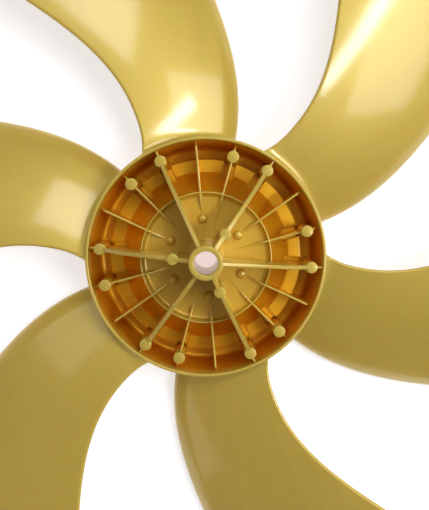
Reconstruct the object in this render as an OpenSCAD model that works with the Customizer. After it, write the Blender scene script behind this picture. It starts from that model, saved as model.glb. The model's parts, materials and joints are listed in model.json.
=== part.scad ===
// Fan rotor moulded in one piece: a round hub cup with a bored boss, radial ribs and round posts
// inside it, and swept blades around it. It lies with the crown of the hub down and the open cup up.
// The origin is where the shaft axis meets the plane of the cup's rim. +Z points to the motor side.

/* [Hub cup] */
// Outside diameter of the cup at its rim
hub_d = 85.5; // [82:0.5:90]
// Height of the rim above the front crown
hub_h = 20.5; // [19:0.5:24]
// Wall thickness at the rim
rim_t = 1.1; // [0.9:0.1:1.5]
// Thickness of the front wall
front_t = 2.4; // [2:0.1:3]
// How far the outside of the cup narrows from rim to shoulder, on the radius
outer_draft = 0.9; // [0.5:0.1:1.4]
// How far the inside of the cup narrows from rim to floor, on the radius
inner_draft = 1.8; // [1.4:0.1:2.4]
// Radius of the rounded front shoulder
shoulder_r = 5; // [3:0.5:6]
// Radius of the fillet between the cup's wall and its floor
foot_r = 2.2; // [1:0.1:3]

/* [Hub floor] */
// Rise from the floor of the outer channel to the flat step
step_h = 5.3; // [4.5:0.1:5.8]
// Inner radius of the flat step
step_in_r = 30.5; // [29.5:0.1:31]
// Outer radius of the flat step
step_out_r = 35.1; // [34.6:0.1:35.4]
// Depth of the central disc below the rim
disc_depth = 3; // [2.6:0.1:3.6]
// Radius of the ring rib that surrounds the disc
ring_r = 23.2; // [22.5:0.1:24]
// Thickness of the ring rib
ring_t = 0.6; // [0.5:0.1:0.9]
// Depth of the ring rib's edge below the rim
ring_depth = 1; // [0.6:0.1:1.4]
// Radius of the cove between disc and ring rib
cove_r = 1.8; // [1:0.1:1.8]
// Width of the pocket in the step at each rib that carries a post
pocket_w = 4.6; // [3.6:0.1:5]

/* [Boss and bore] */
// Diameter of the bore for the motor shaft
bore_d = 8; // [7.9:0.05:8.2]
// Outside diameter of the boss at its free end
boss_d = 11.5; // [11:0.1:13]
// Outside diameter of the boss at its foot
boss_foot_d = 12.2; // [12:0.1:14]
// Height of the boss end above the rim
boss_h = 20; // [18:0.5:22]

/* [Ribs and posts] */
// Thickness of the tall main ribs
main_t = 1.3; // [1:0.1:1.6]
// Thickness of the low ribs
low_t = 0.7; // [0.6:0.1:1]
// Fall of a main rib's edge for each millimetre outward
main_slope = 0.37; // [0.34:0.01:0.4]
// Radius at which the main ribs turn down to their posts
elbow_r = 29.6; // [28.5:0.1:30.5]
// Radius of the circle of posts on the main ribs
main_post_r = 37.4; // [37:0.1:37.6]
// Radius of the circle of posts on the low ribs
low_post_r = 36.8; // [36.4:0.1:37.4]
// Diameter of the posts
post_d = 4.2; // [3.8:0.1:4.4]
// Height of the posts above the rim
post_h = 2; // [1:0.1:2.5]
// Radius of the circle of posts beside the boss
inner_post_r = 11.2; // [10.6:0.1:12]
// Radius at which a low rib starts to rise from the disc
low_start_r = 16.4; // [16:0.1:17.5]
// Radius at which a low rib reaches its full height
low_full_r = 20.2; // [19.4:0.1:20.6]
// Radius of the circle of round pips on the disc
pip_circle_r = 13.9; // [13.2:0.1:14.6]
// Diameter of a pip
pip_d = 3.6; // [3:0.1:4]

/* [Blades] */
// Number of blades
blade_n = 6; // [6]
// Diameter over the blade tips
rotor_d = 356; // [330:2:380]
// Blade thickness
blade_t = 1.9; // [1.6:0.1:2.4]
// Height of the leading edge at the hub, above the rim plane
lead_z = -2; // [-2.6:0.1:-1.8]
// Rise of the leading edge for each millimetre outward
lead_rise = 0.1; // [0.05:0.01:0.14]
// Height of the trailing edge at the hub, above the rim plane
trail_z = -16.8; // [-17:0.1:-15]
// Fall of the trailing edge for each millimetre outward
trail_fall = 0.014; // [0:0.001:0.014]
// Bulge of the blade towards the motor side, as a share of its chord
camber = 0.055; // [0.03:0.005:0.08]
// Width of the turned-down strip along the trailing edge
strip_w = 5.3; // [4:0.1:7]
// Drop of that strip at the very edge
strip_drop = 1.5; // [0.8:0.1:1.8]
// Length of the rounded blade tip
tip_len = 42; // [30:1:60]

/* [Hidden] */
$fn = 40;

gold = [0.80, 0.66, 0.30];
hub_r = hub_d / 2;
crown_z = -hub_h;
channel_z = crown_z + front_t;
step_z = channel_z + step_h;
disc_z = -disc_depth;
seat_z = disc_z - front_t;
ring_z = -ring_depth;
rim_bevel = 0.3;
shoulder_z = crown_z + shoulder_r;
foot_z = channel_z + foot_r;
outer_foot_r = hub_r - outer_draft;
inner_foot_r = hub_r - rim_t - inner_draft;
// Height of the ring rib's outer side above the cone that falls to the step
cone_top_z = ring_z - 3.8;
cone_top_r = ring_r + ring_t / 2 + 0.1;
// Set-back of the front wall behind the cone and behind the step's riser
cone_back = 2.2;
riser_back = 2.1;
pocket_in_r = step_in_r - 1.9;
pocket_out_r = step_out_r + 1;
pocket_z = channel_z + 0.15;
pad_wall = 1.7;
pad_z = crown_z + 0.4;
// Ribs and posts reach this far into the walls that they stand on
root = 1.2;
spacing = 360 / blade_n;
main_angle = -5;
low_post_angle = 15;
low_plain_angle = 35;
// A low rib stops short of the wall at its edge and meets it lower down
low_end_r = hub_r - 3.2;
low_end_fall = 3.5;
low_top_z = ring_z - 0.1;
// Length of a low rib's sloping end that lies below the disc's surface
low_lead_in = (low_full_r - low_start_r) * root / 2 / (low_top_z - disc_z);
stub_z = -0.6;

// Points on an arc about [r, z], from angle a0 to angle a1
function arc(r, z, radius, a0, a1, n) =
    [for (i = [0:n]) let (a = a0 + (a1 - a0) * i / n) [r + radius * cos(a), z + radius * sin(a)]];
// Radius of the middle of the cup's wall at height z, and how far short of it the ribs end
function wall_mid(z) = hub_r - rim_t / 2 + z * (outer_draft + inner_draft) / 2 / hub_h;
function rib_end(z) = [wall_mid(z) - 0.3, z];

// Side of the hub that faces the motor, from the axis outward
rear_side = concat(
    [[0, disc_z]],
    arc(ring_r - ring_t / 2 - cove_r, disc_z + cove_r, cove_r, -90, 0, 4),
    [[ring_r - ring_t / 2, ring_z], [ring_r + ring_t / 2, ring_z], [cone_top_r, cone_top_z],
     [step_in_r, step_z], [step_out_r, step_z], [step_out_r + 0.2, channel_z]],
    arc(inner_foot_r - foot_r, foot_z, foot_r, -90, 0, 4),
    [[hub_r - rim_t, -rim_bevel], [hub_r - rim_t + rim_bevel, 0]]);
// Side of the hub that faces forward, from the rim back to the axis
front_side = concat(
    [[hub_r - rim_bevel, 0], [hub_r, -rim_bevel]],
    arc(outer_foot_r - shoulder_r, shoulder_z, shoulder_r, 0, -90, 6),
    [[step_out_r - riser_back, crown_z], [step_out_r - riser_back, step_z - front_t],
     [step_in_r - cone_back + 0.4, step_z - front_t], [cone_top_r - cone_back, seat_z], [0, seat_z]]);
// Middle of the front wall under a rib, from the channel back to the middle of the boss's wall
boss_mid_r = (boss_d + bore_d) / 4;
wall_line = [[step_out_r - riser_back / 2, channel_z - root], [step_out_r - riser_back / 2, step_z - root],
    [step_in_r - root, step_z - root], [cone_top_r - root, seat_z + root], [boss_mid_r, seat_z + root]];
// The same under a rib that crosses a pocket
pocket_line = [[pocket_in_r - 0.6, channel_z - root], [pocket_in_r - 0.6, step_z - root],
    [cone_top_r - root, seat_z + root], [boss_mid_r, seat_z + root]];

// Upright plate with the outline points, [radius, height], set along the radius at an angle
module plate(angle, thickness, points)
    rotate([0, 0, angle]) translate([0, thickness / 2, 0]) rotate([90, 0, 0])
        linear_extrude(thickness) polygon(points);

// Copies the children once for each blade
module around(first = 0) for (k = [0:blade_n - 1]) rotate([0, 0, first + k * spacing]) children();

// The revolved cup with its stepped floor, and the pockets at the ribs with posts
module cup() difference() {
    union() {
        rotate_extrude($fn = 90) polygon(concat(rear_side, front_side));
        for (a = [main_angle, low_post_angle]) around(a)
            plate(0, pocket_w + 2 * pad_wall,
                [[pocket_in_r - pad_wall, pad_z], [step_out_r - riser_back / 2, pad_z],
                 [step_out_r - riser_back / 2, step_z - root], [pocket_in_r, step_z - root]]);
    }
    for (a = [main_angle, low_post_angle]) around(a)
        plate(0, pocket_w, [[pocket_in_r, pocket_z], [pocket_out_r, pocket_z],
            [pocket_out_r, disc_z], [pocket_in_r, disc_z]]);
}

// Tapered boss for the shaft
module boss() translate([0, 0, seat_z + root])
    cylinder(h = boss_h - seat_z - root, d1 = boss_foot_d, d2 = boss_d);

// Tall rib from the boss, down past an elbow, to its post
module main_rib() plate(0, main_t, concat(
    [[boss_mid_r, boss_h - main_slope * boss_mid_r], [elbow_r, boss_h - main_slope * elbow_r], [main_post_r - post_d / 4, post_h - 0.4],
     [main_post_r, post_h - 0.4], [main_post_r, channel_z - root]], pocket_line));

// Low rib from the disc to the wall, its edge level with the ring rib
module low_rib(line) plate(0, low_t, concat(
    [[low_start_r - low_lead_in, disc_z - root / 2], [low_full_r, low_top_z], [low_end_r, low_top_z],
     rib_end(low_top_z - low_end_fall), rib_end(foot_z), [inner_foot_r - foot_r, channel_z - root]],
    [for (p = line) if (p[0] > low_full_r) p]));

// Short web from a post to the wall
module stub(post_r) plate(0, low_t, [[post_r - 0.4, stub_z], [hub_r - rim_t - 0.4, stub_z],
    rib_end(stub_z - 2), rib_end(foot_z), [inner_foot_r - foot_r, channel_z - root],
    [post_r - 0.4, channel_z - root]]);

// Round post from the channel's floor to above the rim
module post(post_r) translate([post_r, 0, channel_z - root])
    cylinder(h = post_h - channel_z + root, d = post_d);

// Round post on the disc, beside the boss, as tall as the main rib that it thickens
module inner_post() translate([inner_post_r, 0, disc_z - root])
    cylinder(h = boss_h - main_slope * inner_post_r + 0.2 - disc_z + root, d = post_d - 0.3);

// Low round pip on the disc
module pip() translate([pip_circle_r, 0, disc_z]) rotate_extrude($fn = 24)
    polygon(concat([[0, -root / 2], [pip_d / 2, -root / 2]],
        [for (i = [0:3]) [pip_d / 2 * cos(30 * i), pip_d / 3 * sin(30 * i)]]));

// Angles of the blade's two edges at radius r, and the heights of its surface between them
function past(r, start) = max(0, r - start);
function sweep(rate, x) = rate * x * x / (1 + x * x / 3600);
function lead_angle(r) = 16.3 + 5 * exp((hub_r - r) / 5) + sweep(0.0064, past(r, 58));
function trail_angle(r) = -23.6 + 0.13 * past(r, hub_r) + sweep(0.004, past(r, hub_r));
function chord(r) = r * (lead_angle(r) - trail_angle(r)) * PI / 180;
function strip_fall(r, u) = strip_drop * pow(max(0, 1 - u * chord(r) / strip_w), 1.5);
function blade_z(r, u) = trail_z - trail_fall * past(r, hub_r) + strip_drop * (1 - u)
    + u * (lead_z + lead_rise * past(r, hub_r) - trail_z + trail_fall * past(r, hub_r))
    + 4 * camber * chord(r) * u * (1 - u) - strip_fall(r, u);

// The blade as a grid: rows from hub to tip, columns from trailing to leading edge
tip_r = rotor_d / 2;
row_n = 16;
columns = [0, 0.03, 0.08, 0.15, 0.26, 0.4, 0.56, 0.72, 0.87, 0.97, 1];
col_n = len(columns) - 1;
root_r = hub_r;
// Share of the chord that is left at radius r, on the side of the leading or trailing edge
function tip_share(r) = let (s = max(0, r - tip_r + tip_len) / tip_len) pow(1 - pow(0.985 * s, 3), 1 / 3);
tip_mid = 0.5;
function blade_u(r, c) = tip_mid + (c - tip_mid) * tip_share(r);
function edge_share(c) = c == 0 || c == 1 ? 0.45 : c < 0.04 || c > 0.96 ? 0.85 : 1;
function blade_point(i, j, side) =
    let (r = root_r + (tip_r - root_r) * (1 - cos(180 * i / row_n)) / 2,
         u = blade_u(r, columns[j]),
         a = trail_angle(r) + u * (lead_angle(r) - trail_angle(r)),
         z = blade_z(r, u) + side * blade_t / 2 * edge_share(columns[j]),
         rr = i == 0 ? wall_mid(z) : r)
    [rr * cos(a), rr * sin(a), z];
layer = (row_n + 1) * (col_n + 1);
function at(i, j, side) = (side > 0 ? 0 : layer) + i * (col_n + 1) + j;

// One swept blade, its root sunk in the middle of the cup's wall
module blade() polyhedron(
    points = [for (side = [1, -1]) for (i = [0:row_n]) for (j = [0:col_n]) blade_point(i, j, side)],
    faces = concat(
        [for (i = [0:row_n - 1]) for (j = [0:col_n - 1]) each
            [[at(i, j, 1), at(i, j + 1, 1), at(i + 1, j + 1, 1)], [at(i, j, 1), at(i + 1, j + 1, 1), at(i + 1, j, 1)]]],
        [for (i = [0:row_n - 1]) for (j = [0:col_n - 1]) each
            [[at(i, j, -1), at(i + 1, j + 1, -1), at(i, j + 1, -1)], [at(i, j, -1), at(i + 1, j, -1), at(i + 1, j + 1, -1)]]],
        [for (i = [0:row_n - 1]) each
            [[at(i, 0, 1), at(i + 1, 0, 1), at(i + 1, 0, -1)], [at(i, 0, 1), at(i + 1, 0, -1), at(i, 0, -1)],
             [at(i, col_n, 1), at(i + 1, col_n, -1), at(i + 1, col_n, 1)],
             [at(i, col_n, 1), at(i, col_n, -1), at(i + 1, col_n, -1)]]],
        [for (j = [0:col_n - 1]) each
            [[at(0, j, 1), at(0, j, -1), at(0, j + 1, -1)], [at(0, j, 1), at(0, j + 1, -1), at(0, j + 1, 1)],
             [at(row_n, j, 1), at(row_n, j + 1, -1), at(row_n, j, -1)],
             [at(row_n, j, 1), at(row_n, j + 1, 1), at(row_n, j + 1, -1)]]]));

module fan_blade() color(gold) difference() {
    union() {
        cup();
        boss();
        around(main_angle) main_rib();
        around(low_post_angle) low_rib(pocket_line);
        around(low_plain_angle) low_rib(wall_line);
        around(main_angle) { stub(main_post_r); post(main_post_r); }
        around(low_post_angle) post(low_post_r);
        for (k = [0:2]) rotate([0, 0, 55 + 120 * k]) inner_post();
        around(low_plain_angle) pip();
        around(99 - 60) blade();
    }
    translate([0, 0, seat_z - 1]) cylinder(h = boss_h - seat_z + 2, d = bore_d);
}

fan_blade();
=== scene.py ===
# %% [markdown]
# The gold fan blade
# The part is one plastic moulding: a round hub cup, open towards the camera, with ribs and posts
# inside it and six swept blades around it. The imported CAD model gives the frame, and the sizes
# below repeat those that the CAD model was made with. Only the blades differ from it a little: their
# edges follow the photo up to 1.2 mm wider near the hub, and their tips end 0.7 mm short, which keeps
# the finer mesh inside the CAD model's box.
# %% Load the frame
import json
from math import atan, cos, exp, hypot, pi, radians, sin, tau

import bmesh
import bpy
import numpy as np
from mathutils import Euler, Matrix, Vector


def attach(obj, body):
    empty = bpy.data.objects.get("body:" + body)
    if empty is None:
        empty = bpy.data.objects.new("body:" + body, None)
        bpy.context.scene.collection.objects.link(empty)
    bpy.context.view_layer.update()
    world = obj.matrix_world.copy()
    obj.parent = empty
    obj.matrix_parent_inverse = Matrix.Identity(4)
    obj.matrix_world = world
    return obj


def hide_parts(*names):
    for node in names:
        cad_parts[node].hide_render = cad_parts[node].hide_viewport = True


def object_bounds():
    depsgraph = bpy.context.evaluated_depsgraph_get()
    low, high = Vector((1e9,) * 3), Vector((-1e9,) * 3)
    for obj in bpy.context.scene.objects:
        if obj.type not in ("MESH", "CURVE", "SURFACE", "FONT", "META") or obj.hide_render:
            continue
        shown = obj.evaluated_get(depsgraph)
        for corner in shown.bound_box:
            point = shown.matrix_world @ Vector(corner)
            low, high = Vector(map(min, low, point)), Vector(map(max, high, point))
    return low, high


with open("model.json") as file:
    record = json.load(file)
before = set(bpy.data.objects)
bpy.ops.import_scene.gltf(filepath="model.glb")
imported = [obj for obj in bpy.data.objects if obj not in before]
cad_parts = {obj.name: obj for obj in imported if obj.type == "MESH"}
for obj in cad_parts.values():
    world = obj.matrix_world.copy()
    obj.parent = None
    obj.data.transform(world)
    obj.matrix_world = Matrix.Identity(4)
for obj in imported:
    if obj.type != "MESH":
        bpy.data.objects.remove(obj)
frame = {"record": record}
CAD_BOX = [list(corner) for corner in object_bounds()]
BORE = next(m for m in frame["record"]["mounts"] if m["name"] == "shaft_bore")
print("CAD box in mm:", [[round(1000 * v, 1) for v in corner] for corner in CAD_BOX])

# %% [markdown]
# Sizes
# A moulding is drawn in millimetres, and Blender works in metres. The sizes stay in millimetres
# here, as on a drawing, and each finished mesh is scaled by MM once, when it becomes an object.
# Heights count from the plane of the cup's rim, and up is towards the motor.
# %% Sizes of the hub
MM = 0.001
BORE_R = BORE["dims"]["r_mm"]
HUB_R, HUB_H, RIM_T, FRONT_T = 85.5 / 2, 20.5, 1.1, 2.4
OUTER_DRAFT, INNER_DRAFT = 0.9, 1.8
SHOULDER_R, FOOT_R = 5, 2.2
CROWN_Z = -HUB_H
CHANNEL_Z = CROWN_Z + FRONT_T
STEP_Z = CHANNEL_Z + 5.3
STEP_IN_R, STEP_OUT_R = 30.5, 35.1
DISC_Z, RING_Z = -3, -1
SEAT_Z = DISC_Z - FRONT_T
RING_R, RING_T, COVE_R = 23.2, 0.6, 1.8
CONE_TOP_R, CONE_TOP_Z = RING_R + RING_T / 2 + 0.1, RING_Z - 3.8
CONE_BACK, RISER_BACK = 2.2, 2.1
BOSS_H, BOSS_R, BOSS_FOOT_R = 20, 11.5 / 2, 12.2 / 2
print("Hub is", 2 * HUB_R, "mm across and", BOSS_H + HUB_H, "mm high over the boss")

# %% Sizes of the ribs and posts
POCKET_W, POCKET_IN_R, POCKET_OUT_R = 4.6, STEP_IN_R - 1.9, STEP_OUT_R + 1
POCKET_Z, PAD_WALL, PAD_Z = CHANNEL_Z + 0.15, 1.7, CROWN_Z + 0.4
MAIN_T, LOW_T, MAIN_SLOPE, ELBOW_R = 1.3, 0.7, 0.37, 29.6
MAIN_POST_R, LOW_POST_R, POST_R, POST_H = 37.4, 36.8, 4.2 / 2, 2
INNER_POST_R = 11.2
LOW_START_R, LOW_FULL_R, LOW_TOP_Z, LOW_END_R = 16.4, 20.2, RING_Z - 0.1, HUB_R - 3.2
LOW_END_FALL, STUB_Z = 3.5, -0.6
PIP_CIRCLE_R, PIP_R = 13.9, 3.6 / 2
ROOT = 1.2
MAIN_ANGLE, LOW_POST_ANGLE, LOW_PLAIN_ANGLE, INNER_POST_ANGLE = -5, 15, 35, 55

# %% [markdown]
# Shapes turned about the axis
# The cup, its stepped floor, the ring rib and the boss are all turned shapes, so one outline in
# radius and height makes them together. The outline is a closed loop that starts in the bore, so
# the turned mesh closes on itself. Small arcs round the edges as the mould does.
# %% Outline helpers
def arc(r, z, radius, start, end, steps=6):
    """Points on an arc about (r, z), with the angles in degrees."""
    angles = [radians(start + (end - start) * i / steps) for i in range(steps + 1)]
    return [(r + radius * cos(a), z + radius * sin(a)) for a in angles]


def turned(name, outline, segments=192, closed=True):
    """Mesh in mm from an outline of (radius, height). An open outline starts and ends on the axis."""
    mesh_edit = bmesh.new()
    rings = []
    for r, z in outline:
        count = 1 if r < 1e-6 else segments
        rings.append([mesh_edit.verts.new((r * cos(tau * k / count), r * sin(tau * k / count), z))
                      for k in range(count)])
    pairs = list(zip(rings, rings[1:])) + ([(rings[-1], rings[0])] if closed else [])
    for low, high in pairs:
        for k in range(segments):
            corners = [low[k % len(low)], low[(k + 1) % len(low)], high[(k + 1) % len(high)], high[k % len(high)]]
            mesh_edit.faces.new(list(dict.fromkeys(corners)))
    return finished(name, mesh_edit)


def face_outwards(mesh_edit):
    """Turns every face of a closed bmesh outwards. An inside-out mesh has a negative volume."""
    bmesh.ops.recalc_face_normals(mesh_edit, faces=mesh_edit.faces)
    if mesh_edit.calc_volume(signed=True) < 0:
        bmesh.ops.reverse_faces(mesh_edit, faces=mesh_edit.faces)


def finished(name, mesh_edit):
    """Object from a bmesh whose faces are turned outwards."""
    face_outwards(mesh_edit)
    mesh = bpy.data.meshes.new(name)
    mesh_edit.to_mesh(mesh)
    mesh_edit.free()
    piece = bpy.data.objects.new(name, mesh)
    bpy.context.scene.collection.objects.link(piece)
    return piece


# %% Turn the hub
EDGE = 0.25
inner_foot_r = HUB_R - RIM_T - INNER_DRAFT
outer_foot_r = HUB_R - OUTER_DRAFT
hub_outline = (
    [(BORE_R, SEAT_Z)]
    + arc(BORE_R + EDGE, BOSS_H - EDGE, EDGE, 180, 90, 3)
    + arc(BOSS_R - EDGE, BOSS_H - EDGE, EDGE, 90, 0, 3)
    + arc(BOSS_FOOT_R + 0.5, DISC_Z + 0.5, 0.5, 180, 270, 4)
    + arc(RING_R - RING_T / 2 - COVE_R, DISC_Z + COVE_R, COVE_R, -90, 0, 8)
    + arc(RING_R - RING_T / 2 + EDGE, RING_Z - EDGE, EDGE, 180, 90, 3)
    + arc(RING_R + RING_T / 2 - EDGE, RING_Z - EDGE, EDGE, 90, 0, 3)
    + [(CONE_TOP_R, CONE_TOP_Z), (STEP_IN_R, STEP_Z)]
    + arc(STEP_OUT_R - EDGE, STEP_Z - EDGE, EDGE, 90, 0, 3)
    + [(STEP_OUT_R + 0.2, CHANNEL_Z)]
    + arc(inner_foot_r - FOOT_R, CHANNEL_Z + FOOT_R, FOOT_R, -90, 0, 8)
    + arc(HUB_R - RIM_T + 0.3, -0.3, 0.3, 180, 90, 4)
    + arc(HUB_R - 0.3, -0.3, 0.3, 90, 0, 4)
    + arc(outer_foot_r - SHOULDER_R, CROWN_Z + SHOULDER_R, SHOULDER_R, 0, -90, 14)
    + [(STEP_OUT_R - RISER_BACK, CROWN_Z), (STEP_OUT_R - RISER_BACK, STEP_Z - FRONT_T),
       (STEP_IN_R - CONE_BACK + 0.4, STEP_Z - FRONT_T), (CONE_TOP_R - CONE_BACK, SEAT_Z)])
hub = turned("fan_blade_gold", hub_outline)
print("Hub outline has", len(hub_outline), "points, and the turned mesh", len(hub.data.polygons), "faces")

# %% [markdown]
# Copies round the axis
# Ribs, posts, pips and blades each come six times, 60 degrees apart. One Geometry Nodes tree turns
# a single piece into the whole ring: it puts a point for each copy on the axis, instances the
# piece there with a growing turn, and realizes the instances, because the export drops them.
# %% Node helpers
def new_tree(name, inputs):
    """Geometry node tree with a geometry input, a geometry output and named number inputs."""
    tree = bpy.data.node_groups.new(name, "GeometryNodeTree")
    face = tree.interface
    face.new_socket("Geometry", in_out="INPUT", socket_type="NodeSocketGeometry")
    for label, (kind, value) in inputs.items():
        face.new_socket(label, in_out="INPUT", socket_type=f"NodeSocket{kind}").default_value = value
    face.new_socket("Material", in_out="INPUT", socket_type="NodeSocketMaterial")
    face.new_socket("Geometry", in_out="OUTPUT", socket_type="NodeSocketGeometry")
    return tree, tree.nodes.new("NodeGroupInput"), tree.nodes.new("NodeGroupOutput")


def add(tree, kind, links=None, **settings):
    """Adds a node, sets its properties, and plugs sockets or values into its inputs by name or place."""
    node = tree.nodes.new(kind)
    for key, value in settings.items():
        setattr(node, key, value)
    for key, value in (links or {}).items():
        if isinstance(value, bpy.types.NodeSocket):
            tree.links.new(value, node.inputs[key])
        else:
            node.inputs[key].default_value = value
    return node


def with_nodes(piece, tree, **values):
    """Runs a tree on a piece, keeps the result as its mesh and takes the modifier off."""
    modifier = piece.modifiers.new("nodes", "NODES")
    modifier.node_group = tree
    for socket in tree.interface.items_tree:
        if socket.in_out == "INPUT" and socket.name in values:
            modifier[socket.identifier] = values[socket.name]
    return baked(piece)


def baked(piece):
    """Replaces a piece's mesh by what its modifiers make of it, and drops the modifiers."""
    bpy.context.view_layer.update()
    graph = bpy.context.evaluated_depsgraph_get()
    mesh = bpy.data.meshes.new_from_object(piece.evaluated_get(graph), depsgraph=graph)
    piece.modifiers.clear()
    piece.data = mesh
    return piece


# %% The ring tree
ring, ring_in, ring_out = new_tree("ring of copies", {"Count": ("Int", 6), "First angle": ("Float", 0.0)})
ring_points = add(ring, "GeometryNodePoints", {"Count": ring_in.outputs["Count"]})
ring_index = add(ring, "GeometryNodeInputIndex")
ring_step = add(ring, "ShaderNodeMath", {0: tau, 1: ring_in.outputs["Count"]}, operation="DIVIDE")
ring_turn = add(ring, "ShaderNodeMath", {0: ring_index.outputs[0], 1: ring_step.outputs[0],
                2: ring_in.outputs["First angle"]}, operation="MULTIPLY_ADD")
ring_angle = add(ring, "ShaderNodeCombineXYZ", {"Z": ring_turn.outputs[0]})
ring_copies = add(ring, "GeometryNodeInstanceOnPoints", {"Points": ring_points.outputs[0],
                  "Instance": ring_in.outputs["Geometry"], "Rotation": ring_angle.outputs[0]})
ring_real = add(ring, "GeometryNodeRealizeInstances", {0: ring_copies.outputs[0]})
ring_finish = add(ring, "GeometryNodeSetMaterial", {"Geometry": ring_real.outputs[0],
                  "Material": ring_in.outputs["Material"]})
ring.links.new(ring_finish.outputs[0], ring_out.inputs["Geometry"])


def around(piece, first_angle, count=6):
    """Turns one piece into a ring of copies, the first one at first_angle degrees."""
    return with_nodes(piece, ring, Count=count, **{"First angle": radians(first_angle)})


# %% [markdown]
# Ribs, webs, pads and pockets
# Each rib is an upright plate with its outline drawn in radius and height. It is made by
# extruding the outline through the plate's thickness, and its edges get a small bevel. Its foot
# reaches into the floor and wall, so the union that follows leaves no gap.
# %% Outlines that the ribs share
boss_mid_r = (BOSS_R + BORE_R) / 2
floor_line = [(STEP_OUT_R - RISER_BACK / 2, CHANNEL_Z - ROOT), (STEP_OUT_R - RISER_BACK / 2, STEP_Z - ROOT),
              (STEP_IN_R - ROOT, STEP_Z - ROOT), (CONE_TOP_R - ROOT, SEAT_Z + ROOT), (boss_mid_r, SEAT_Z + ROOT)]
pocket_line = [(POCKET_IN_R - 0.6, CHANNEL_Z - ROOT), (POCKET_IN_R - 0.6, STEP_Z - ROOT),
               (CONE_TOP_R - ROOT, SEAT_Z + ROOT), (boss_mid_r, SEAT_Z + ROOT)]


def wall_mid(z):
    """Radius of the middle of the cup's wall at height z."""
    return HUB_R - RIM_T / 2 + z * (OUTER_DRAFT + INNER_DRAFT) / 2 / HUB_H


def rib_end(z):
    return wall_mid(z) - 0.3, z


def plate(name, thickness, outline, edge=0.0):
    """Upright plate along +X from an outline of (radius, height), with bevelled edges if edge is given."""
    mesh_edit = bmesh.new()
    sides = [[mesh_edit.verts.new((r, y, z)) for r, z in outline] for y in (-thickness / 2, thickness / 2)]
    count = len(outline)
    mesh_edit.faces.new(sides[0])
    mesh_edit.faces.new(sides[1][::-1])
    for k in range(count):
        n = (k + 1) % count
        mesh_edit.faces.new([sides[0][k], sides[1][k], sides[1][n], sides[0][n]])
    if edge:
        long_edges = [e for e in mesh_edit.edges if abs(e.verts[0].co.y - e.verts[1].co.y) < 1e-6]
        bmesh.ops.bevel(mesh_edit, geom=long_edges, offset=edge, segments=2, profile=0.5, affect="EDGES")
    return finished(name, mesh_edit)


# %% Make the plates
low_head = [(LOW_START_R - (LOW_FULL_R - LOW_START_R) * ROOT / 2 / (LOW_TOP_Z - DISC_Z), DISC_Z - ROOT / 2),
            (LOW_FULL_R, LOW_TOP_Z), (LOW_END_R, LOW_TOP_Z), rib_end(LOW_TOP_Z - LOW_END_FALL),
            rib_end(CHANNEL_Z + FOOT_R), (inner_foot_r - FOOT_R, CHANNEL_Z - ROOT)]
main_head = [(boss_mid_r, BOSS_H - MAIN_SLOPE * boss_mid_r), (ELBOW_R, BOSS_H - MAIN_SLOPE * ELBOW_R),
             (MAIN_POST_R - POST_R / 2, POST_H - 0.4), (MAIN_POST_R, POST_H - 0.4),
             (MAIN_POST_R, CHANNEL_Z - ROOT)]
stub_outline = [(MAIN_POST_R - 0.4, STUB_Z), (HUB_R - RIM_T - 0.4, STUB_Z), rib_end(STUB_Z - 2),
                rib_end(CHANNEL_Z + FOOT_R), (inner_foot_r - FOOT_R, CHANNEL_Z - ROOT),
                (MAIN_POST_R - 0.4, CHANNEL_Z - ROOT)]
pad_outline = [(POCKET_IN_R - PAD_WALL, PAD_Z), (STEP_OUT_R - RISER_BACK / 2, PAD_Z),
               (STEP_OUT_R - RISER_BACK / 2, STEP_Z - ROOT), (POCKET_IN_R, STEP_Z - ROOT)]
pocket_outline = [(POCKET_IN_R, POCKET_Z), (POCKET_OUT_R, POCKET_Z), (POCKET_OUT_R, DISC_Z), (POCKET_IN_R, DISC_Z)]
low_over_floor = low_head + [p for p in floor_line if p[0] > LOW_FULL_R]
low_over_pocket = low_head + [p for p in pocket_line if p[0] > LOW_FULL_R]

added, removed = [], []
for angle in (MAIN_ANGLE, LOW_POST_ANGLE):
    added.append(around(plate("pad", POCKET_W + 2 * PAD_WALL, pad_outline), angle))
    removed.append(around(plate("pocket", POCKET_W, pocket_outline), angle))
added.append(around(plate("main_rib", MAIN_T, main_head + pocket_line, edge=0.2), MAIN_ANGLE))
added.append(around(plate("low_rib", LOW_T, low_over_pocket, edge=0.15), LOW_POST_ANGLE))
added.append(around(plate("plain_rib", LOW_T, low_over_floor, edge=0.15), LOW_PLAIN_ANGLE))
added.append(around(plate("stub", LOW_T, stub_outline, edge=0.15), MAIN_ANGLE))
print("Plates in each ring:", {piece.name: len(piece.data.polygons) for piece in added})

# %% [markdown]
# Posts and pips
# The round posts and the low pips are turned about the part's axis first, as the hub is, then
# moved out to their circle, and the ring tree repeats them.
# %% Make the posts and pips
def post(name, radius, circle_r, foot_z, top_z):
    """Round post with a softly rounded top edge."""
    outline = [(0, foot_z), (radius, foot_z)] + arc(radius - 0.3, top_z - 0.3, 0.3, 0, 90, 3) + [(0, top_z)]
    piece = turned(name, outline, segments=32, closed=False)
    piece.data.transform(Matrix.Translation((circle_r, 0, 0)))
    return piece


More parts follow.
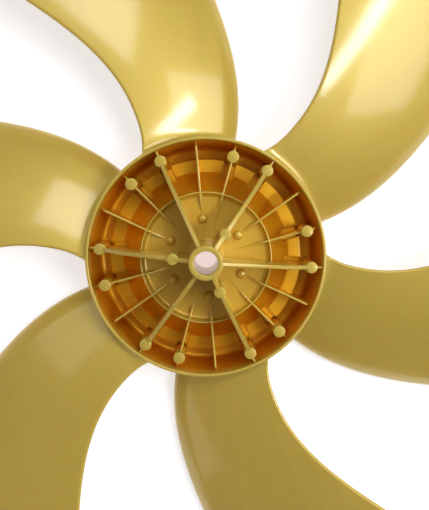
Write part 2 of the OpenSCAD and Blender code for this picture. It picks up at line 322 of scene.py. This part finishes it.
post_foot_z = CHANNEL_Z - ROOT
inner_post_top = BOSS_H - MAIN_SLOPE * INNER_POST_R + 0.2
pip_outline = [(0, -ROOT / 2), (PIP_R, -ROOT / 2)] + [
    (PIP_R * cos(radians(10 * i)), PIP_R * 2 / 3 * sin(radians(10 * i))) for i in range(9)] + [(0, PIP_R * 2 / 3)]
pip = turned("pip", pip_outline, segments=32, closed=False)
pip.data.transform(Matrix.Translation((PIP_CIRCLE_R, 0, DISC_Z)))
added.append(around(post("main_post", POST_R, MAIN_POST_R, post_foot_z, POST_H), MAIN_ANGLE))
added.append(around(post("low_post", POST_R, LOW_POST_R, post_foot_z, POST_H), LOW_POST_ANGLE))
added.append(around(post("inner_post", POST_R - 0.15, INNER_POST_R, DISC_Z - ROOT, inner_post_top),
                    INNER_POST_ANGLE, count=3))
added.append(around(pip, LOW_PLAIN_ANGLE))

# %% [markdown]
# The blade as a rule
# A blade's form follows a rule: at each radius the rule gives the angles of its leading and its
# trailing edge, the heights of both, a bulge between them and a strip that turns down along the
# trailing edge. Geometry Nodes apply it to a plain grid, whose long way runs from hub to tip and
# whose short way runs once round the blade's section. Number nodes are tedious to wire by hand,
# so a small class lets the rule be written as arithmetic.
# %% Arithmetic on node sockets
class Number:
    """A number in a node tree. Adding or multiplying two of them adds a Math node."""

    def __init__(self, tree, socket):
        self.tree, self.socket = tree, socket

    def math(self, operation, *others):
        values = [other.socket if isinstance(other, Number) else other for other in (self, *others)]
        node = add(self.tree, "ShaderNodeMath", dict(enumerate(values)), operation=operation)
        return Number(self.tree, node.outputs[0])

    def __add__(self, other):
        return self.math("ADD", other)

    def __sub__(self, other):
        return self.math("SUBTRACT", other)

    def __mul__(self, other):
        return self.math("MULTIPLY", other)

    def __truediv__(self, other):
        return self.math("DIVIDE", other)

    def __rsub__(self, other):
        return self * -1 + other

    def __pow__(self, power):
        return self.math("POWER", power)

    __radd__, __rmul__ = __add__, __mul__


# %% The blade tree
blade_sizes = {"Tip radius": 177.3, "Thickness": 1.9, "Lead height": -2.0, "Lead rise": 0.1,
               "Trail height": -16.8, "Trail fall": 0.014, "Camber": 0.055, "Strip width": 5.3,
               "Strip drop": 1.5, "Tip length": 42.0}
ROWS, AROUND = 84, 112
TIP_MID, EDGE_ROUND, ROOT_FLARE = 0.5, 0.9, 1.2
blade_tree, blade_in, blade_out = new_tree("blade from a rule", {k: ("Float", v) for k, v in blade_sizes.items()})
size = {name: Number(blade_tree, blade_in.outputs[name]) for name in blade_sizes}
grid = add(blade_tree, "GeometryNodeMeshGrid", {"Vertices X": ROWS + 1, "Vertices Y": AROUND + 1})
place = add(blade_tree, "ShaderNodeSeparateXYZ", {0: add(blade_tree, "GeometryNodeInputPosition").outputs[0]})
row = (Number(blade_tree, place.outputs["X"]) + 0.5) * ROWS
turn = (Number(blade_tree, place.outputs["Y"]) + 0.5) * tau

# Radius of each row: rows lie closer together at hub and tip
share_out = (row - 1).math("MAXIMUM", 0.0) / (ROWS - 1)
radius = HUB_R + (size["Tip radius"] - HUB_R) * (1 - (share_out * pi).math("COSINE")) * 0.5
beyond_hub = radius - HUB_R
beyond_bend = (radius - 58.0).math("MAXIMUM", 0.0)


def sweep(rate, x):
    """Turn in degrees that grows with the square of x at first, and then levels out."""
    return rate * x * x / (1 + x * x / 3600)


lead_angle = 16.7 + 6.2 * (beyond_hub / -5.5).math("EXPONENT") + sweep(0.00626, beyond_bend)
trail_angle = -23.9 + 0.12 * beyond_hub + sweep(0.0045, beyond_hub)
chord = radius * (lead_angle - trail_angle) * (pi / 180)

# Share of the chord: c runs from trailing to leading edge and back, and the tip narrows it
c = (1 - turn.math("COSINE")) * 0.5
into_tip = (radius - size["Tip radius"] + size["Tip length"]).math("MAXIMUM", 0.0) / size["Tip length"]
tip_share = (1 - (into_tip * 0.985) ** 3) ** (1 / 3)
u = TIP_MID + (c - TIP_MID) * tip_share
lead_z = size["Lead height"] + size["Lead rise"] * beyond_hub
trail_z = size["Trail height"] - size["Trail fall"] * beyond_hub
strip_share = (1 - u * chord / size["Strip width"]).math("MAXIMUM", 0.0) ** 1.5
surface_z = (trail_z + size["Strip drop"] * (1 - u) + u * (lead_z - trail_z)
             + 4 * size["Camber"] * chord * u * (1 - u) - size["Strip drop"] * strip_share)

# Half the thickness, rounded to nothing at the edges and at the tip, and fuller at the root
from_edge = c.math("MINIMUM", 1 - c) * chord * tip_share
from_tip = size["Tip radius"] - radius
to_edge = (from_edge.math("MINIMUM", from_tip) / EDGE_ROUND).math("MINIMUM", 1.0)
rounding = (to_edge * (2 - to_edge)).math("MAXIMUM", 0.0) ** 0.5
half = size["Thickness"] * 0.5 + ROOT_FLARE * (beyond_hub * -1.0).math("EXPONENT")
end_row = row.math("GREATER_THAN", 0.5)
lift = half * rounding * end_row * turn.math("SINE").math("SIGN")
blade_z = surface_z + lift

# The first two rows lie inside the cup's wall and close the blade there
in_wall = row.math("LESS_THAN", 1.5)
wall_r = HUB_R - RIM_T / 2 + blade_z * ((OUTER_DRAFT + INNER_DRAFT) / 2 / HUB_H) + end_row * 0.4 - 0.3
blade_r = radius + (wall_r - radius) * in_wall
angle = (trail_angle + u * (lead_angle - trail_angle)) * (pi / 180)
blade_place = add(blade_tree, "ShaderNodeCombineXYZ", {
    "X": (blade_r * angle.math("COSINE")).socket, "Y": (blade_r * angle.math("SINE")).socket, "Z": blade_z.socket})
blade_moved = add(blade_tree, "GeometryNodeSetPosition", {"Geometry": grid.outputs["Mesh"],
                  "Position": blade_place.outputs[0]})
blade_merged = add(blade_tree, "GeometryNodeMergeByDistance", {"Geometry": blade_moved.outputs[0], "Distance": 0.002})
blade_real = add(blade_tree, "GeometryNodeRealizeInstances", {0: blade_merged.outputs[0]})
blade_finish = add(blade_tree, "GeometryNodeSetMaterial", {"Geometry": blade_real.outputs[0],
                   "Material": blade_in.outputs["Material"]})
blade_tree.links.new(blade_finish.outputs[0], blade_out.inputs["Geometry"])

# %% Make the blades
blade = with_nodes(finished("blade", bmesh.new()), blade_tree)
blade_edit = bmesh.new()
blade_edit.from_mesh(blade.data)
open_edges = sum(not e.is_manifold for e in blade_edit.edges)
face_outwards(blade_edit)
blade_edit.to_mesh(blade.data)
blade_edit.free()
print("Blade has", len(blade.data.polygons), "faces and", open_edges, "open edges")
added.append(around(blade, 39))

# %% [markdown]
# One moulding
# The mould fills as one body, so the pieces become one closed mesh: pockets are cut from the hub,
# then pads, ribs, posts, pips and blades are joined to it one ring at a time. Every ring is closed
# by itself, which is what the quick manifold solver asks for.
# %% Join the rings to the hub
def combine(base, piece, operation):
    modifier = base.modifiers.new("join", "BOOLEAN")
    modifier.operation, modifier.solver, modifier.object = operation, "MANIFOLD", piece
    baked(base)
    bpy.data.objects.remove(piece)


for piece in removed:
    combine(hub, piece, "DIFFERENCE")
for piece in added:
    combine(hub, piece, "UNION")
hub.data.transform(Matrix.Scale(MM, 4))
hub.data.polygons.foreach_set("use_smooth", [True] * len(hub.data.polygons))
hub.data.set_sharp_from_angle(angle=radians(32))
hub_edit = bmesh.new()
hub_edit.from_mesh(hub.data)
print("Moulding has", len(hub.data.polygons), "faces,",
      sum(len(p.vertices) - 2 for p in hub.data.polygons), "triangles and",
      sum(not e.is_manifold for e in hub_edit.edges), "open edges; volume in cm3",
      round(hub_edit.calc_volume() * 1e6, 2))
hub_edit.free()

# %% [markdown]
# Gold plastic
# The plastic holds fine metal flakes in a clear resin, so it has a soft metallic body under a
# sharper clear gloss. A partly metallic Principled shader with a coat gives both layers. Patterns
# are worked out from Object coordinates, which are metres in the part's own frame: the depth
# inside the cup, the flow of the melt outwards along the blades, clouds in the pigment and flakes.
# The depth inside the cup carries painted shade: there the colour is painted a deeper orange, in
# place of the shade and the bounced light of the deep cup, and is not a different plastic.
# %% Material helpers
def new_material(name):
    material = bpy.data.materials.new(name)
    material.use_nodes = True
    return material, material.node_tree, material.node_tree.nodes["Principled BSDF"]


def noise(tree, vector, scale, detail=2.0, roughness=0.5):
    """Noise in cycles per metre."""
    node = add(tree, "ShaderNodeTexNoise", {"Vector": vector, "Scale": scale, "Detail": detail, "Roughness": roughness})
    return Number(tree, node.outputs["Fac"])


def ramp(tree, value, low, high, to_low=0.0, to_high=1.0):
    """Smooth step of a number from to_low at low to to_high at high."""
    node = add(tree, "ShaderNodeMapRange", {"Value": value.socket, "From Min": low, "From Max": high,
               "To Min": to_low, "To Max": to_high}, interpolation_type="SMOOTHSTEP")
    return Number(tree, node.outputs["Result"])


def mix_colour(tree, share, one, other, blend="MIX"):
    node = add(tree, "ShaderNodeMix", data_type="RGBA", blend_type=blend)
    for place, value in ((0, share), (6, one), (7, other)):
        if isinstance(value, Number):
            value = value.socket
        if isinstance(value, bpy.types.NodeSocket):
            tree.links.new(value, node.inputs[place])
        else:
            node.inputs[place].default_value = value
    return node.outputs[2]


# %% Where on the part a point lies
gold, gold_tree, gold_shader = new_material("gold_plastic")
gold_coords = add(gold_tree, "ShaderNodeTexCoord").outputs["Object"]
gold_place = add(gold_tree, "ShaderNodeSeparateXYZ", {0: gold_coords})
at_x, at_y, at_z = (Number(gold_tree, gold_place.outputs[axis]) for axis in "XYZ")
at_r = (at_x * at_x + at_y * at_y) ** 0.5
at_angle = at_y.math("ARCTAN2", at_x)
# This mask goes from 0 at the rim to 1 some 6 mm down inside the cup, and marks where shade is painted into the
# material.
painted_cup_shade = ramp(gold_tree, at_r, (HUB_R - 0.2) * MM, (HUB_R - 0.9) * MM) * ramp(gold_tree, at_z, 0, -6 * MM)

# %% Pigment, painted cup shade, flow and flakes
flow_coords = add(gold_tree, "ShaderNodeCombineXYZ", {
    "X": (at_r * 6.0).socket, "Y": (at_angle * 4.0).socket, "Z": (at_z * 30.0).socket}).outputs[0]
flow = noise(gold_tree, flow_coords, 4.0, 3.0)
clouds = noise(gold_tree, gold_coords, 22.0, 2.0)
flakes = noise(gold_tree, gold_coords, 2600.0, 1.0)
tone = 0.86 + 0.12 * flow + 0.1 * clouds + 0.06 * flakes
# Painted shade: inside the cup the gold is painted a deeper, redder orange, standing in for the shade and the
# many-times-bounced light of the deep cup.
gold_with_cup_shade = mix_colour(gold_tree, painted_cup_shade, (0.64, 0.47, 0.07, 1), (0.84, 0.45, 0.012, 1))
gold_tree.links.new(mix_colour(gold_tree, 1.0, gold_with_cup_shade, add(gold_tree, "ShaderNodeCombineColor", {
    0: tone.socket, 1: tone.socket, 2: tone.socket}).outputs[0], "MULTIPLY"), gold_shader.inputs["Base Color"])
# Painted shade: the metallic share rises inside the cup with the same mask, so the bounced light there turns a deeper
# orange.
gold_tree.links.new((0.3 + 0.4 * painted_cup_shade).socket, gold_shader.inputs["Metallic"])
gold_shader.inputs["Subsurface Weight"].default_value = 0.8
gold_shader.inputs["Subsurface Radius"].default_value = (1.0, 0.4, 0.08)
gold_shader.inputs["Subsurface Scale"].default_value = 0.0022
gold_tree.links.new((0.40 + 0.06 * flow + 0.04 * flakes).socket, gold_shader.inputs["Roughness"])
# Painted shade: the coat thins inside the cup with the same mask, so the cup shows no white sheen.
gold_tree.links.new((1 - 0.85 * painted_cup_shade).socket, gold_shader.inputs["Coat Weight"])
gold_shader.inputs["Coat Roughness"].default_value = 0.12

# %% Fine waviness of the skin
skin = noise(gold_tree, gold_coords, 160.0, 2.0) * 0.6 + noise(gold_tree, gold_coords, 1500.0, 2.0) * 0.06
gold_bump = add(gold_tree, "ShaderNodeBump", {"Strength": 0.25, "Distance": 0.0004, "Height": skin.socket})
gold_tree.links.new(gold_bump.outputs[0], gold_shader.inputs["Normal"])
hub.data.materials.clear()
hub.data.materials.append(gold)
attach(hub, "root")
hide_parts("fan_blade")

# %% [markdown]
# Floor, light and camera
# The part lies on a plain white floor. The camera looks down on it almost along the axis, and
# its place is worked out from where the rim's centre and the axis' vanishing point are in the picture.
# %% Floor
floor_edit = bmesh.new()
bmesh.ops.create_grid(floor_edit, x_segments=1, y_segments=1, size=6)
floor = finished("floor", floor_edit)
floor.data.transform(Matrix.Translation((0, 0, CAD_BOX[0][2])))
paper, paper_tree, paper_shader = new_material("white_paper")
paper_shader.inputs["Base Color"].default_value = (0.8, 0.8, 0.8, 1)
paper_shader.inputs["Roughness"].default_value = 0.9
seen = add(paper_tree, "ShaderNodeLightPath")
seen_share = (Number(paper_tree, seen.outputs["Is Camera Ray"]) + Number(paper_tree, seen.outputs["Is Glossy Ray"])
              + Number(paper_tree, seen.outputs["Is Transmission Ray"])).math("MINIMUM", 1.0)
paper_shader.inputs["Emission Color"].default_value = (0.97, 0.96, 1.0, 1)
paper_tree.links.new((seen_share * 0.62).socket, paper_shader.inputs["Emission Strength"])
floor.data.materials.append(paper)

# %% Light
world = bpy.data.worlds.new("studio")
bpy.context.scene.world = world
world.use_nodes = True
world.node_tree.nodes["Background"].inputs["Color"].default_value = (1, 1, 1, 1)
world.node_tree.nodes["Background"].inputs["Strength"].default_value = 0.2


def softbox(name, off_axis, azimuth, wide, high, brightness, roll=0.0, distance=1.0, colour=(1, 1, 1)):
    """Area lamp that faces the part from off_axis degrees off +Z. Brightness is its radiance."""
    light = bpy.data.lights.new(name, "AREA")
    light.shape, light.size, light.size_y, light.color = "RECTANGLE", wide, high, colour
    light.energy = brightness * pi * wide * high
    holder = bpy.data.objects.new(name, light)
    turned_to = Euler((0, radians(off_axis), radians(azimuth))).to_matrix().to_4x4()
    holder.matrix_world = turned_to @ Matrix.Translation((0, 0, distance)) @ Matrix.Rotation(radians(roll), 4, "Z")
    bpy.context.scene.collection.objects.link(holder)
    return holder


softbox("strip", 33, 3, 0.5, 0.08, 20, roll=33)
softbox("right_window", 47, 2, 0.45, 0.6, 3.5)
softbox("top_window", 34, 68, 0.4, 0.4, 5.0)
softbox("left_fill", 50, 140, 0.5, 0.5, 1.0)
softbox("low_fill", 75, 210, 0.6, 0.5, 1.0, colour=(1, 0.85, 0.8))

# %% Camera
PICTURE = (429, 510)
RIM_CENTRE, AXIS_VANISHES = (205.9, 258.05), (205.9, 183.0)
MM_PER_PX, DISTANCE = 0.3535, 0.290
focal_px = DISTANCE / MM / MM_PER_PX
centre = (PICTURE[0] / 2, PICTURE[1] / 2)
tilt = atan((AXIS_VANISHES[1] - centre[1]) / focal_px)
pan = atan((AXIS_VANISHES[0] - centre[0]) / focal_px)
camera_data = bpy.data.cameras.new("camera")
camera_data.sensor_width = 36
camera_data.lens = focal_px / PICTURE[1] * camera_data.sensor_width
camera = bpy.data.objects.new("camera", camera_data)
bpy.context.scene.collection.objects.link(camera)
camera.rotation_euler = Euler((tilt, pan, 0))
to_rim = Vector(((RIM_CENTRE[0] - centre[0]) / focal_px, -(RIM_CENTRE[1] - centre[1]) / focal_px, -1)) * DISTANCE
camera.location = -(camera.rotation_euler.to_matrix() @ to_rim)
bpy.context.scene.camera = camera
bpy.context.scene.view_settings.view_transform = "Standard"
print("Camera", [round(v, 4) for v in camera.location], "lens", round(camera_data.lens, 1))

# %% Update the view layer
bpy.context.view_layer.update()
